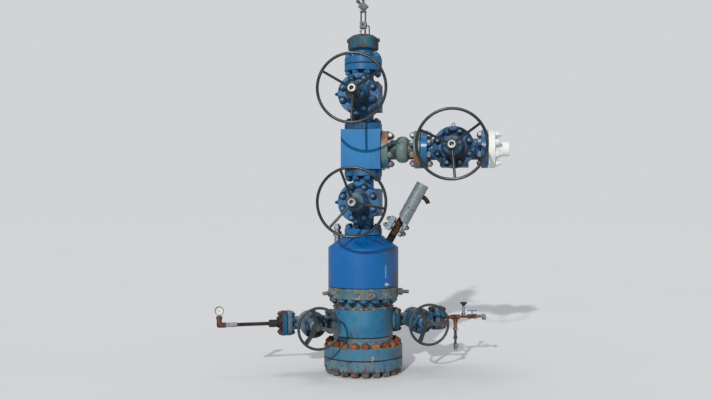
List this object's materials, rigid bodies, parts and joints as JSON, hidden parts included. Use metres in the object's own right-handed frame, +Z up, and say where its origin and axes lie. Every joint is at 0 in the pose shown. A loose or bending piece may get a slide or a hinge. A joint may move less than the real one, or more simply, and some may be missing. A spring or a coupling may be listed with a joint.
{
  "type": "oil wellhead valve stack",
  "caption": "Upright stack of flanged gate valves on a bolted spool, with a side flow arm, two low side outlets and turning handwheels.",
  "frame": {"origin": "centre of the casing head stub's underside, on the ground", "axes": "+Z up the stack, +X out along the flow arm, -Y the front, where the valve wheels face"},
  "size_m": [2.187, 0.9928, 2.9476],
  "materials": {
    "blue_paint": "weathered gloss",
    "faded_blue_paint": "worn, rust-stained",
    "rusty_steel": "rusted",
    "bare_steel": "dull",
    "black_paint": "worn at the edges",
    "white_paint": "gloss",
    "galvanized_steel": "matte",
    "black_rubber": "matte"
  },
  "bodies": {
    "tree": {"casing_head_flange": "rusty_steel", "tubing_head_spool": "faded_blue_paint", "radial_fittings": "rusty_steel", "adapter_can": "blue_paint", "left_feedthrough": "bare_steel", "right_feedthrough": "black_paint", "clamp_plates": "faded_blue_paint", "clamp_studs": "rusty_steel", "shield_tube": "galvanized_steel", "shield_boot": "black_rubber", "master_valve_body": "blue_paint", "master_bonnet": "blue_paint", "tee_block": "blue_paint", "swab_valve_body": "blue_paint", "swab_bonnet": "blue_paint", "wing_spool": "faded_blue_paint", "wing_valve_body": "blue_paint", "wing_bonnet": "blue_paint", "bearing_caps": "blue_paint", "weld_neck_flange": "white_paint", "cap_flange": "blue_paint", "tree_cap": "blue_paint", "cap_nipple": "rusty_steel", "cap_needle_valve": "bare_steel", "cap_coupler": "bare_steel", "left_side_valve": "blue_paint", "right_side_valve": "blue_paint", "side_bonnets": "blue_paint", "companion_flanges": "blue_paint", "left_gauge_line": "bare_steel", "pressure_gauge": "white_paint", "right_bleed_line": "rusty_steel", "bleed_valve": "bare_steel"},
    "master_wheel": {"master_handwheel": "black_paint", "master_stem": "bare_steel"},
    "swab_wheel": {"swab_handwheel": "black_paint", "swab_stem": "bare_steel"},
    "wing_wheel": {"wing_handwheel": "black_paint", "wing_stem": "bare_steel"},
    "left_side_wheel": {"left_side_handwheel": "black_paint", "left_side_stem": "bare_steel"},
    "right_side_wheel": {"right_side_handwheel": "black_paint", "right_side_stem": "bare_steel"},
    "bleed_valve_handle": {"bleed_handle": "black_paint"},
    "ball_valve_cross": {"ball_valve_handle": "blue_paint"}
  },
  "joints": [
    {"name": "master_wheel_turn", "type": "hinge", "parent": "tree", "child": "master_wheel", "pos_m": [0, -0.58, 1.3203], "axis": [0, -1, 0], "range_deg": [0, 8460]},
    {"name": "swab_wheel_turn", "type": "hinge", "parent": "tree", "child": "swab_wheel", "pos_m": [0, -0.58, 2.1363], "axis": [0, -1, 0], "range_deg": [0, 8460]},
    {"name": "wing_wheel_turn", "type": "hinge", "parent": "tree", "child": "wing_wheel", "pos_m": [0.7095, -0.58, 1.7283], "axis": [0, -1, 0], "range_deg": [0, 8460]},
    {"name": "left_side_wheel_turn", "type": "hinge", "parent": "tree", "child": "left_side_wheel", "pos_m": [-0.38942, -0.1613, 0.4], "axis": [0.3827, -0.9239, 0], "range_deg": [0, 4770]},
    {"name": "right_side_wheel_turn", "type": "hinge", "parent": "tree", "child": "right_side_wheel", "pos_m": [0.38942, 0.1613, 0.4], "axis": [0.3827, -0.9239, 0], "range_deg": [0, 4770]},
    {"name": "bleed_handle_turn", "type": "hinge", "parent": "tree", "child": "bleed_valve_handle", "pos_m": [0.77005, 0.31897, 0.46], "axis": [0, 0, 1], "range_deg": [0, 1800]},
    {"name": "ball_valve_turn", "type": "hinge", "parent": "tree", "child": "ball_valve_cross", "pos_m": [0.8375, 0.3469, 0.43], "axis": [0, 0, 1], "range_deg": [0, 90]}
  ]
}
